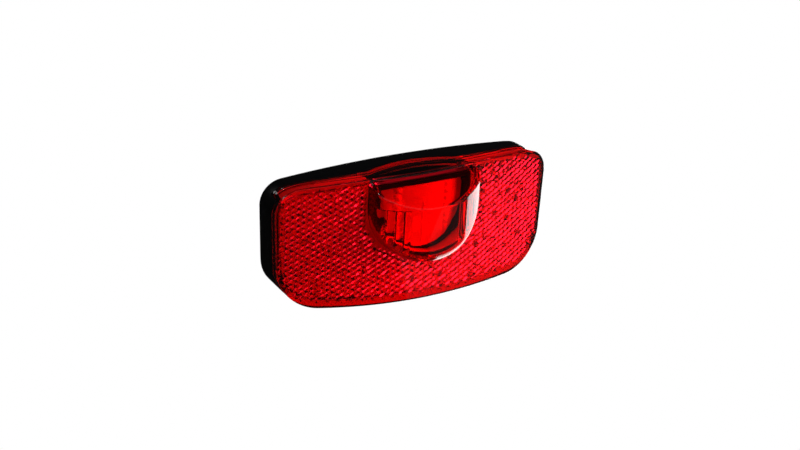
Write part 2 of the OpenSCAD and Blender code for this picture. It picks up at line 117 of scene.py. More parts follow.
class LensSizes(bpy.types.PropertyGroup):
    """Sizes of the lens moulding and its dome"""

    width: length("Width", "Width across the upper corners", LENS_HIGH.x - LENS_LOW.x)
    taper: length("Taper", "How much narrower the foot is, each side", 1 * MM)
    front: length("Front", "Depth of the middle of the front plate in front of the flat back", PLATE_FRONT)
    plan_bow: length("Plan bow", "Radius of the front seen from above", 168 * MM)
    top_bow: length("Top bow", "Radius of the crowned top edge", 484 * MM)
    bottom_bow: length("Bottom bow", "Radius of the crowned bottom edge", 520 * MM)
    top_corner: length("Top corner", "Radius of the upper corners", 9 * MM)
    bottom_corner: length("Bottom corner", "Radius of the lower corners at the front", 15 * MM)
    back_drop: length("Back drop", "How much lower the top is at the back", 2.3 * MM)
    back_rise: length("Back rise", "How much higher the foot is at the back", 1.5 * MM)
    back_inset: length("Back inset", "How much the sides draw in at the back", 0.2 * MM)
    back_corner: length("Back corner", "Radius of the lower corners at the back", 12 * MM)
    back_round: length("Back round", "Rounding of the back's edge", 3 * MM)
    skin: length("Skin", "Thickness of the front beside the prisms", 1.2 * MM)
    wall: length("Wall", "Wall of the skirt", 1.6 * MM)
    edge_wall: length("Edge wall", "Wall of the skirt where it meets the front", 0.15 * MM)
    wall_start: length("Wall start", "Depth at which the skirt has its full wall", 2.7 * MM)
    rim: length("Rim", "Rounding between the front and the skirt", 0.25 * MM)
    top_skirt: length("Top skirt", "How far the skirt reaches back over the top", 8.5 * MM)
    side_skirt: length("Side skirt", "How far the skirt reaches back at the sides and foot", 3.3 * MM)
    skirt_foot: length("Skirt foot", "Height where the deep top skirt ends", 16.5 * MM)
    arch_depth: length("Arch depth", "How far the arched window reaches back", 13.4 * MM)
    arch_radius: length("Arch radius", "Radius of the arched window seen from above", 44 * MM)
    groove_depth: length("Groove depth", "Depth of the lines along the skirt", 0.25 * MM)
    groove_width: length("Groove width", "Width of the lines along the skirt", 0.5 * MM)
    groove_step: length("Groove step", "Distance of the lines from the edge and each other", 1.5 * MM)
    dome_width: length("Dome width", "Width of the dome", 39 * MM)
    dome_drop: length("Dome drop", "How far the dome's foot lies below the studs", 7 * MM)
    dome_lip: length("Dome lip", "How far the dome's top lies below the lens's top", 0.9 * MM)
    dome_out: length("Dome out", "How far the dome stands out of the plate", -LENS_LOW.y - PLATE_FRONT)
    dome_edge: length("Dome edge", "Rounding of the dome's edge at its sides and foot", 5 * MM)
    dome_bow: length("Dome bow", "Radius of the dome's front seen from above", 28 * MM)
    dome_slope: angle("Dome slope", "Slope of the dome's top", 32)
    dome_brow: length("Dome brow", "How far the dome's top runs level before it slopes", 0.3 * MM)
    dome_soft: length("Dome softness", "How far the dome's edges are rounded off", 0.6 * MM)
    dome_round: length("Dome rounding", "How far the dome's steep sides round into its front", 4 * MM)
    dome_fillet: length("Dome fillet", "Fillet between the dome and the plate", 0.35 * MM)
    dome_wall: length("Dome wall", "Wall of the dome", 1.8 * MM)
    flute_top: length("Flute top", "Height where the flutes inside the dome start", 14.3 * MM)
    flute_start: length("Flute start", "Sideways distance of the first flute from the middle", 8.5 * MM)
    flute_width: length("Flute width", "Width of a flute", 2.4 * MM)
    flute_depth: length("Flute depth", "Depth of a flute", 0.9 * MM)
    # Painted light: the frosted crescent inside the dome's foot stands in for light that the dome's wall
    # carries
    lit_crescent_top: length("Crescent top", "Height where the dome's frosted crescent runs out", 10 * MM)
    dome_corner: length("Dome corner", "Rounding of the dome's two upper edges", 1.2 * MM)


class PrismSizes(bpy.types.PropertyGroup):
    """Sizes of the reflex field"""

    pitch: length("Pitch", "Distance between two cells in a column", 2.006 * MM)
    shift: length("Shift", "Height of a row of cells above the studs", 0.5 * MM)
    base: length("Base", "How deep the prisms' highest corners lie behind the plain inside", 0.08 * MM)
    step: length("Step", "Room for the steps between the columns of prisms", 0.3 * MM)
    edge: length("Edge", "Plain strip between the field and the skirt's inside", 0.1 * MM)
    side_edge: length("Side edge", "Plain strip between the field and the lens's two sides", 0.5 * MM)
    dome_gap: length("Dome gap", "Plain strip between the field and the dome", 0.15 * MM)
    stray: length("Stray", "How far a corner of a prism may stray sideways", 0.07 * MM)
    seed: IntProperty(name="Seed", description="Seed of the strays", default=7)


class OpticSizes(bpy.types.PropertyGroup):
    """Sizes of the optic's pattern"""

    bead: length("Bead", "Width of a bead on the optic's front", 2.6 * MM)
    bead_height: length("Bead height", "Height of a bead", 0.5 * MM)
    bead_place: length("Bead place", "Distance of the two columns of beads from the middle", 9.2 * MM)
    seam: length("Seam", "Width of the upright line down the optic's middle", 0.3 * MM)
    seam_height: length("Seam height", "Height of that line", 0.12 * MM)
    seam_top: length("Seam top", "Height where that line ends", 12 * MM)
    edge: length("Edge", "Thickness of the optic at its sides", 3 * MM)
    corner: length("Corner", "Rounding of the optic's two upper corners", 3.5 * MM)


class StudSizes(bpy.types.PropertyGroup):
    """Sizes of the threaded studs"""

    radius: length("Radius", "Outer radius of the thread", 2.5 * MM)
    collar: length("Collar", "Radius of the collar in the housing", 3.1 * MM)
    spacing: length("Spacing", "Distance between the studs", 80 * MM)
    pitch: length("Pitch", "Pitch of the thread", 0.8 * MM)
    depth: length("Depth", "Depth of the thread", 0.43 * MM)
    head: length("Head", "Height of the hexagon head", 3.5 * MM)
    flats: length("Flats", "Width of the hexagon head across its flats", 8 * MM)
    back: length("Back", "Thickness of the housing's back", 2 * MM)


class Finishes(bpy.types.PropertyGroup):
    """Colours of the finishes"""

    lens: colour("Lens", "Clear red plastic", (0.86, 0.004, 0.016))
    # Frost on the skirt's top; in the crescent inside the dome's foot it is painted light
    frost: colour("Frost", "Frosted inside of the skirt's top and of the dome's foot", (0.85, 0.004, 0.012))
    # Painted shade: a darker copy of the frost that dims the skirt's foot and the arch's rear edge
    shaded_frost: colour("Shaded frost", "Frosted foot of the skirt and edge of the arch", (0.36, 0.003, 0.008))
    backing: colour("Backing", "Plate behind the prisms", (0.6, 0.006, 0.018))
    housing: colour("Housing", "Black moulded plastic", (0.0012, 0.0012, 0.0014))
    bezel: colour("Bezel", "Matt black plastic", (0.004, 0.004, 0.0045))
    optic: colour("Optic", "Orange-red clear plastic", (0.95, 0.02, 0.004))
    rubber: colour("Rubber", "Black rubber", (0.02, 0.02, 0.021))
    epoxy: colour("Epoxy", "Clear epoxy of the LEDs", (0.95, 0.9, 0.8))
    board: colour("Board", "Solder mask of the board", (0.012, 0.11, 0.04))
    package: colour("Package", "Moulded bodies of the components", (0.012, 0.012, 0.013))
    sleeve: colour("Sleeve", "Shrink sleeve of the capacitors", (0.015, 0.018, 0.03))
    steel: colour("Steel", "Zinc-plated steel", (0.62, 0.63, 0.65))
    brass: colour("Brass", "Tinned brass", (0.7, 0.55, 0.3))
    floor: colour("Floor", "Floor and backdrop", (0.85, 0.85, 0.85))


class StageSizes(bpy.types.PropertyGroup):
    """Camera and lamps"""

    azimuth: angle("Azimuth", "Camera's turn from straight ahead", 28.898)
    elevation: angle("Elevation", "Camera's height angle", 24.431)
    roll: angle("Roll", "Camera's roll", 3.192)
    distance: length("Distance", "Camera's distance from the top middle of the front plate", 1.2224)
    focal: picture_share("Focal length", "In picture widths", 3738.3)
    aim_x: picture_share("Aim across", "Place of the aim point, in picture widths from the left", 424.72)
    aim_y: picture_share("Aim down", "Place of the aim point, in picture widths from the top", 170.27)
    aim_height: length("Aim height", "Height of the aim point above the studs", 23.7 * MM)
    floor_gap: length("Floor gap", "Gap between the light's foot and the floor", 130 * MM)


GROUPS = {
    "rear_light_lens": LensSizes,
    "rear_light_prism": PrismSizes,
    "rear_light_optic": OpticSizes,
    "rear_light_stud": StudSizes,
    "rear_light_finish": Finishes,
    "rear_light_stage": StageSizes,
}


def arc(cx, cz, r, start, end, n):
    """Points of an arc in x and z, between two angles in degrees."""
    a = np.radians(np.linspace(start, end, n))
    return np.column_stack([cx + r * np.cos(a), cz + r * np.sin(a)])


def fine(points, step=0.15 * MM):
    """The closed outline with points no further apart than about one step."""
    loop = np.vstack([points, points[:1]])
    run = np.concatenate([[0], np.cumsum(np.hypot(*np.diff(loop, axis=0).T))])
    at = np.arange(0, run[-1], step)
    return np.column_stack([np.interp(at, run, loop[:, 0]), np.interp(at, run, loop[:, 1])])


def outline(s, d, share=0.0):
    """Outline seen from the front, drawn in by d; share runs from the front, 0, to the back, 1."""
    d += HAIR
    half = s.width / 2 - share * s.back_inset
    top = LENS_HIGH.z - share * s.back_drop
    foot = LENS_LOW.z + share * s.back_rise
    low = s.bottom_corner + share * (s.back_corner - s.bottom_corner)
    xt = half - s.top_corner
    xb = half - s.taper - low
    ct = top - s.top_bow + math.sqrt((s.top_bow - s.top_corner) ** 2 - xt * xt)
    cb = foot + s.bottom_bow - math.sqrt((s.bottom_bow - low) ** 2 - xb * xb)
    at = math.degrees(math.acos(xt / (s.top_bow - s.top_corner)))
    ab = math.degrees(math.acos(xb / (s.bottom_bow - low)))
    corner, long = 60, 400
    return fine(np.vstack([
        arc(xt, ct, s.top_corner - d, 0, at, corner),
        arc(0, top - s.top_bow, s.top_bow - d, at, 180 - at, long),
        arc(-xt, ct, s.top_corner - d, 180 - at, 180, corner),
        arc(-xb, cb, low - d, 180, 180 + ab, corner),
        arc(0, foot + s.bottom_bow, s.bottom_bow - d, 180 + ab, 360 - ab, long),
        arc(xb, cb, low - d, 360 - ab, 360, corner),
    ]))


def dome_centre(s):
    """Centre of the dome's round foot, in x and z."""
    return np.array([0.0, s.dome_width / 2 - s.dome_drop])


def u_shape(s, r, top, corner):
    """U-shaped outline of radius r with a flat top and two small upper corners."""
    _, cz = dome_centre(s)
    small, large, step = 12, 120, 0.1 * MM
    return fine(np.vstack([
        arc(r - corner, top - corner, corner, 0, 90, small),
        arc(-r + corner, top - corner, corner, 90, 180, small),
        arc(0, cz, r, 180, 360, large),
    ]), step)


def dome_outline(s, d):
    """Outline of the dome drawn in by d."""
    top = LENS_HIGH.z - s.dome_lip - d
    return u_shape(s, s.dome_width / 2 - d, top, s.dome_corner)


def spokes(points, centre, angles):
    """Where spokes at these angles from the centre meet a closed outline."""
    rel = points - centre
    polar = np.arctan2(rel[:, 1], rel[:, 0]) % TAU
    order = np.argsort(polar)
    radius = np.interp(angles, polar[order], np.hypot(*rel.T)[order], period=TAU)
    return centre + radius[:, None] * np.column_stack([np.cos(angles), np.sin(angles)])


def bow(s, x, d=0.0):
    """Depth y of the bowed front at x, set back by d."""
    return -s.front + s.plan_bow - np.sqrt((s.plan_bow - d) ** 2 - x * x)


def unit_circle(n=48):
    """Angles round a circle of radius 1, and its points."""
    turns = np.linspace(0, TAU, n, endpoint=False)
    return turns, np.column_stack([np.cos(turns), np.sin(turns)])


def ring(xz, y):
    """Points of a ring from its x and z and its depth."""
    return np.column_stack([xz[:, 0], np.broadcast_to(y, len(xz)), xz[:, 1]])


def seam_depth(s, xz):
    """Depth y of the lens's rear edge for points on the outline: deep over the top, deepest at the arch."""
    blend = 0.6 * MM
    side = bow(s, xz[:, 0], s.side_skirt)
    top = bow(s, xz[:, 0], s.top_skirt)
    chord = np.sqrt(np.maximum(s.arch_radius ** 2 - xz[:, 0] ** 2, 0))
    arch = -s.front + s.arch_depth - s.arch_radius + chord
    ramp = np.clip((xz[:, 1] - s.skirt_foot) / blend + 0.5, 0, 1)
    return side + (np.maximum(top, arch) - side) * ramp


def soft_least(a, b, soft):
    """The lesser of two values, rounded off where they come within soft of each other."""
    near = np.maximum(soft - np.abs(a - b), 0) / soft
    return np.minimum(a, b) - near * near * soft / 4


def dome_depth(s, xz, inset, d):
    """Depth y of the dome's skin, drawn in by d, at points that lie inset from its outline."""
    turn = math.acos(max(1 - inset / s.dome_edge, 0))
    edge = (s.dome_out - d) * math.sin(turn)
    front = s.dome_out - s.dome_bow + np.sqrt((s.dome_bow - d) ** 2 - xz[:, 0] ** 2)
    top = LENS_HIGH.z - s.dome_lip - d / math.cos(s.dome_slope)
    slope = s.dome_brow + (top - xz[:, 1]) / math.tan(s.dome_slope)
    side = soft_least(edge, front, s.dome_soft + s.dome_round * math.cos(turn))
    return -s.front - soft_least(side, slope, s.dome_soft)


def flutes(s, xz):
    """How much thicker the upright flutes make the dome's wall, at points of its inside."""
    blend = 0.3 * MM
    across = np.abs(xz[:, 0]) - s.flute_start
    wave = 1 - (2 * (across / s.flute_width % 1) - 1) ** 2
    below = np.clip((s.flute_top - xz[:, 1]) / blend, 0, 1)
    return s.flute_depth * wave * (across > 0) * below


def within(points, loop, centre, room=0.0):
    """Which points lie inside a closed outline that surrounds the centre, with room to spare."""
    rel = np.asarray(points) - centre
    turns = np.arctan2(rel[:, 1], rel[:, 0]) % TAU
    reach = np.hypot(*(spokes(loop, centre, turns) - centre).T)
    return np.hypot(*rel.T) < reach - room


class Skin:
    """Points and faces of a mesh in the making; each face has the number of its finish."""

    def __init__(self):
        self.points, self.faces, self.finishes = [], [], []

    def add(self, points):
        """Adds points and gives back the number of the first."""
        self.points += [tuple(map(float, point)) for point in points]
        return len(self.points) - len(points)

    def face(self, corners, finish=CLEAR):
        """Adds a face between points, given by their numbers."""
        self.faces.append(tuple(corners))
        self.finishes.append(finish)

    def loft(self, rings):
        """Joins rings of equal count, from the front's middle outwards; gives back where each starts."""
        n = len(rings[0])
        starts = [self.add(points) for points in rings]
        for a, b in zip(starts, starts[1:]):
            for i in range(n):
                j = (i + 1) % n
                self.face((a + i, b + i, b + j, a + j))
        return starts

    def close(self, start, n, forward):
        """Closes a ring with a middle point, facing forward or backward."""
        middle = self.add([np.mean(self.points[start:start + n], axis=0)])
        for i in range(n):
            j = (i + 1) % n
            self.face((middle, start + i, start + j) if forward else (middle, start + j, start + i))

    def body(self, rings):
        """A closed body over rings."""
        starts = self.loft(rings)
        self.close(starts[0], len(rings[0]), True)
        self.close(starts[-1], len(rings[0]), False)
        return self

    def build(self, name, smooth_angle=35.0):
        """A mesh object with smooth shading, kept sharp at edges over smooth_angle degrees."""
        mesh = bpy.data.meshes.new(name)
        mesh.from_pydata(self.points, [], self.faces)
        mesh.polygons.foreach_set("use_smooth", [True] * len(mesh.polygons))
        mesh.polygons.foreach_set("material_index", self.finishes)
        mesh.set_sharp_from_angle(angle=math.radians(smooth_angle))
        obj = bpy.data.objects.new(name, mesh)
        bpy.context.scene.collection.objects.link(obj)
        return obj


def put(obj, body, slot, material, *replaced):
    """Gives a piece its finish and its body, and hides the nodes that it stands for; the slot is not used.
    """
    obj.data.materials.append(material)
    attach(obj, body)
    if replaced:
        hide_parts(*replaced)
    return obj


def node_finish(material, *names):
    """Gives CAD nodes a finish."""
    for name in names:
        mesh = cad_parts[name].data
        mesh.materials.clear()
        mesh.materials.append(material)


def shader_group(name, inputs, outputs):
    """A new shader group with the sockets that are named."""
    group = bpy.data.node_groups.new(name, "ShaderNodeTree")
    for label, kind, default in inputs:
        socket = group.interface.new_socket(label, in_out="INPUT", socket_type=kind)
        socket.default_value = default
    for label, kind in outputs:
        group.interface.new_socket(label, in_out="OUTPUT", socket_type=kind)
    return group


def group_noise(group, enter, detail):
    """A noise at the group's scale; gives it back as it is and centred on zero."""
    nodes, links = group.nodes, group.links
    place = nodes.new("ShaderNodeTexCoord")
    noise = nodes.new("ShaderNodeTexNoise")
    noise.inputs["Detail"].default_value = detail
    centred = nodes.new("ShaderNodeMath")
    centred.operation = "SUBTRACT"
    centred.inputs[1].default_value = 0.5
    links.new(place.outputs["Object"], noise.inputs["Vector"])
    links.new(enter.outputs["Scale"], noise.inputs["Scale"])
    links.new(noise.outputs["Fac"], centred.inputs[0])
    return noise.outputs["Fac"], centred.outputs[0]


def grain_group():
    """Shader group: fine moulded grain, as a roughness and a height."""
    group = bpy.data.node_groups.get("moulded_grain")
    if group:
        return group
    inputs = (("Scale", FLOAT, 900.0), ("Roughness", FLOAT, 0.3), ("Spread", FLOAT, 0.1))
    group = shader_group("moulded_grain", inputs, (("Roughness", FLOAT), ("Height", FLOAT)))
    nodes, links = group.nodes, group.links
    enter, leave = nodes.new("NodeGroupInput"), nodes.new("NodeGroupOutput")
    height, centred = group_noise(group, enter, 3)
    spread = nodes.new("ShaderNodeMath")
    spread.operation = "MULTIPLY_ADD"
    links.new(centred, spread.inputs[0])
    links.new(enter.outputs["Spread"], spread.inputs[1])
    links.new(enter.outputs["Roughness"], spread.inputs[2])
    links.new(spread.outputs[0], leave.inputs["Roughness"])
    links.new(height, leave.inputs["Height"])
    return group


def drift_group():
    """Shader group: a slow drift of a colour between a darker and a lighter tone."""
    group = bpy.data.node_groups.get("tone_drift")
    if group:
        return group
    inputs = (("Colour", COLOUR, (0.5, 0.5, 0.5, 1)), ("Scale", FLOAT, 60.0), ("Amount", FLOAT, 0.1))
    group = shader_group("tone_drift", inputs, (("Colour", COLOUR),))
    nodes, links = group.nodes, group.links
    enter, leave = nodes.new("NodeGroupInput"), nodes.new("NodeGroupOutput")
    _, centred = group_noise(group, enter, 2)
    factor = nodes.new("ShaderNodeMath")
    factor.operation = "MULTIPLY_ADD"
    factor.inputs[2].default_value = 1.0
    tint = nodes.new("ShaderNodeVectorMath")
    tint.operation = "SCALE"
    links.new(centred, factor.inputs[0])
    links.new(enter.outputs["Amount"], factor.inputs[1])
    links.new(enter.outputs["Colour"], tint.inputs[0])
    links.new(factor.outputs[0], tint.inputs["Scale"])
    links.new(tint.outputs["Vector"], leave.inputs["Colour"])
    return group


def finish(name, tone, roughness, spread=0.08, grain=900.0, bump=0.05, drift=0.15, **constants):
    """A Principled material with grain and colour drift; constants are set on the shader's own sockets."""
    material = bpy.data.materials.new(name)
    material.use_nodes = True
    nodes, links = material.node_tree.nodes, material.node_tree.links
    shader = nodes["Principled BSDF"]
    grained = nodes.new("ShaderNodeGroup")
    grained.node_tree = grain_group()
    grained.inputs["Scale"].default_value = grain
    grained.inputs["Roughness"].default_value = roughness
    grained.inputs["Spread"].default_value = spread
    drifted = nodes.new("ShaderNodeGroup")
    drifted.node_tree = drift_group()
    drifted.inputs["Colour"].default_value = (*tone, 1)
    drifted.inputs["Amount"].default_value = drift
    relief = nodes.new("ShaderNodeBump")
    relief.inputs["Strength"].default_value = bump
    relief.inputs["Distance"].default_value = GRAIN_HEIGHT
    links.new(drifted.outputs["Colour"], shader.inputs["Base Color"])
    links.new(grained.outputs["Roughness"], shader.inputs["Roughness"])
    links.new(grained.outputs["Height"], relief.inputs["Height"])
    links.new(relief.outputs["Normal"], shader.inputs["Normal"])
    for socket, value in constants.items():
        shader.inputs[socket.replace("_", " ")].default_value = value
    return material


def for_rays(tree, path, ray, special, usual):
    """Gives one kind of ray a special shader in place of the usual one; gives back the two mixed."""
    mix = tree.nodes.new("ShaderNodeMixShader")
    tree.links.new(path.outputs[ray], mix.inputs["Fac"])
    tree.links.new(usual, mix.inputs[1])
    tree.links.new(special, mix.inputs[2])
    return mix.outputs["Shader"]


def let_lamps_through(material, tone):
    """Lets light from lamps pass a clear material, tinted by its colour."""
    tree = material.node_tree
    path = tree.nodes.new("ShaderNodeLightPath")
    clear = tree.nodes.new("ShaderNodeBsdfTransparent")
    clear.inputs["Color"].default_value = (*tone, 1)
    plastic = tree.nodes["Principled BSDF"].outputs["BSDF"]
    shader = for_rays(tree, path, "Is Shadow Ray", clear.outputs["BSDF"], plastic)
    tree.links.new(shader, tree.nodes["Material Output"].inputs["Surface"])
    return material


def clear_plastic(name, tone, roughness=0.02, transmission=1.0, ior=1.51):
    """Clear coloured plastic."""
    constants = {"Transmission_Weight": transmission, "IOR": ior}
    material = finish(name, tone, roughness, spread=0.02, bump=0.01, drift=0.06, **constants)
    return let_lamps_through(material, [math.sqrt(c) for c in tone])


class REARLIGHT_OT_stage(bpy.types.Operator):
    """Set up floor, lamps, surroundings and camera"""

    bl_idname = "rear_light.stage"
    bl_label = "Stage"

    def execute(self, context):
        sizes = context.scene.rear_light_stage
        self.camera(context, sizes)
        self.floor(sizes, context.scene.rear_light_finish.floor)
        self.lamps()
        self.cards(sizes)
        self.surroundings(context)
        context.scene.view_settings.view_transform = "Standard"
        return {"FINISHED"}

    def camera(self, context, sizes):
        """A camera that sees the aim point at its place in the picture."""
        az, el, roll = sizes.azimuth, sizes.elevation, sizes.roll
        ahead = Vector((math.sin(az) * math.cos(el), math.cos(az) * math.cos(el), -math.sin(el)))
        level = Vector((math.cos(az), -math.sin(az), 0))
        steep = level.cross(ahead)
        right = math.cos(roll) * level + math.sin(roll) * steep
        up = -math.sin(roll) * level + math.cos(roll) * steep
        aim = Vector((0, -context.scene.rear_light_lens.front, sizes.aim_height))
        place = aim - ahead * sizes.distance
        across = (0.5 - sizes.aim_x) / sizes.focal
        down = (0.5 * PICTURE_HEIGHT / PICTURE_WIDTH - sizes.aim_y) / sizes.focal
        look = (ahead + across * right - down * up).normalized()
        right = (right - right.dot(look) * look).normalized()
        up = right.cross(look)
        data = bpy.data.cameras.new("camera")
        data.sensor_width = 36
        data.lens = data.sensor_width * sizes.focal
        data.clip_start = 0.01
        camera = bpy.data.objects.new("camera", data)
        camera.matrix_world = Matrix((
            (right.x, up.x, -look.x, place.x),
            (right.y, up.y, -look.y, place.y),
            (right.z, up.z, -look.z, place.z),
            (0, 0, 0, 1),
        ))
        context.scene.collection.objects.link(camera)
        context.scene.camera = camera

    def floor(self, sizes, tone):
        """A floor that bends up into a backdrop; each kind of ray sees it in its own brightness."""
        foot = CAD_BOX[0][2] - sizes.floor_gap
        wide, near, deep, high, bend = 4.0, -2.5, 1.6, 2.2, 0.5
        profile = [(near, 0.0), (deep - bend, 0.0)]
        for turn in np.linspace(0.1, math.pi / 2, 12):
            profile.append((deep - bend + bend * math.sin(turn), bend - bend * math.cos(turn)))
        profile.append((deep, high))
        skin = Skin()
        skin.add([(x, y, foot + z) for y, z in profile for x in (-wide, wide)])
        for i in range(0, 2 * len(profile) - 2, 2):
            skin.face((i, i + 1, i + 3, i + 2))
        floor = skin.build("floor", smooth_angle=80)
        material = finish("pale_floor", tone, roughness=0.7, drift=0.01, bump=0.0)
        tree = material.node_tree
        path = tree.nodes.new("ShaderNodeLightPath")
        shader = tree.nodes["Principled BSDF"].outputs["BSDF"]
        for ray, glow in (("Is Transmission Ray", 0.25), ("Is Glossy Ray", 0.012), ("Is Camera Ray", 1.0)):
            emission = tree.nodes.new("ShaderNodeEmission")
            emission.inputs["Strength"].default_value = glow
            shader = for_rays(tree, path, ray, emission.outputs["Emission"], shader)
        tree.links.new(shader, tree.nodes["Material Output"].inputs["Surface"])
        floor.data.materials.append(material)

    def lamps(self):
        """Square lamps aimed at the light; some are seen in mirrored or refracted rays."""
        aim = Vector((0, -0.015, 0))
        for name, place, size, power, mirrored, refracted in (
            ("key_softbox", (0.1, -1.13, 0.72), 0.35, 1.0, False, True),
            ("left_softbox", (-0.6, -0.5, 1.0), 0.2, 1.5, True, False),
            ("right_softbox", (0.45, -0.25, 0.15), 0.3, 10.0, False, False),
            ("top_softbox", (-0.1, -0.15, 1.0), 0.6, 2.0, False, False),
            ("rear_softbox", (-0.6, 1.0, 0.7), 0.6, 2.0, True, False),
            ("camera_fill", (-0.65, -1.17, 0.62), 0.5, 3.8, False, True),
        ):
            data = bpy.data.lights.new(name, "AREA")
            data.shape = "SQUARE"
            data.size = size
            data.energy = power
            lamp = bpy.data.objects.new(name, data)
            lamp.location = place
            lamp.rotation_euler = (aim - Vector(place)).to_track_quat("-Z", "Y").to_euler()
            lamp.visible_glossy = mirrored
            lamp.visible_transmission = refracted
            bpy.context.scene.collection.objects.link(lamp)

    def cards(self, sizes):
        """Cards over the floor, seen only as reflections: a bright one at the right, a dim one before it."""
        lift = 2 * MM
        foot = CAD_BOX[0][2] - sizes.floor_gap + lift
        for name, glow, corners in (
            ("rear_card", 5.0, ((75, -105), (470, -105), (470, 460), (75, 460))),
            ("side_card", 0.08, ((110, -340), (420, -340), (420, -115), (110, -115))),
        ):
            skin = Skin()
            skin.add([(x * MM, y * MM, foot) for x, y in corners])
            skin.face(range(4))
            card = skin.build(name)
            material = bpy.data.materials.new(name + "_white")
            material.use_nodes = True
            shader = material.node_tree.nodes["Principled BSDF"]
            shader.inputs["Base Color"].default_value = (0, 0, 0, 1)
            shader.inputs["Emission Color"].default_value = (1, 1, 1, 1)
            shader.inputs["Emission Strength"].default_value = glow
            card.data.materials.append(material)
            card.visible_camera = card.visible_diffuse = card.visible_transmission = False

    def surroundings(self, context):
        """White surroundings, brighter in front; each kind of ray sees them in its own brightness."""
        world = bpy.data.worlds.new("studio")
        world.use_nodes = True
        context.scene.world = world
        tree = world.node_tree
        nodes, links = tree.nodes, tree.links
        sky = nodes["Background"]
        place = nodes.new("ShaderNodeTexCoord")
        parts = nodes.new("ShaderNodeSeparateXYZ")
        links.new(place.outputs["Generated"], parts.inputs["Vector"])
        sky.inputs["Color"].default_value = (1, 1, 1, 1)

        def front_to_back(strength, near, far, front, back):
            """Lets the strength run from front to back, between two values of the direction's Y."""
            ramp = nodes.new("ShaderNodeMapRange")
            ramp.inputs["From Min"].default_value = near
            ramp.inputs["From Max"].default_value = far
            ramp.inputs["To Min"].default_value = front
            ramp.inputs["To Max"].default_value = back
            links.new(parts.outputs["Y"], ramp.inputs["Value"])
            links.new(ramp.outputs["Result"], strength)

        front_to_back(sky.inputs["Strength"], -1.0, 0.6, 0.28, 0.16)
        path = nodes.new("ShaderNodeLightPath")
        shader = sky.outputs["Background"]
        for ray, front, back in (
            ("Is Transmission Ray", 0.3, 0.3), ("Is Glossy Ray", 0.3, 0.012), ("Is Camera Ray", 1.0, 1.0),
        ):
            background = nodes.new("ShaderNodeBackground")
            background.inputs["Color"].default_value = (1, 1, 1, 1)
            front_to_back(background.inputs["Strength"], -0.8, -0.25, front, back)
            shader = for_rays(tree, path, ray, background.outputs["Background"], shader)
        links.new(shader, nodes["World Output"].inputs["Surface"])


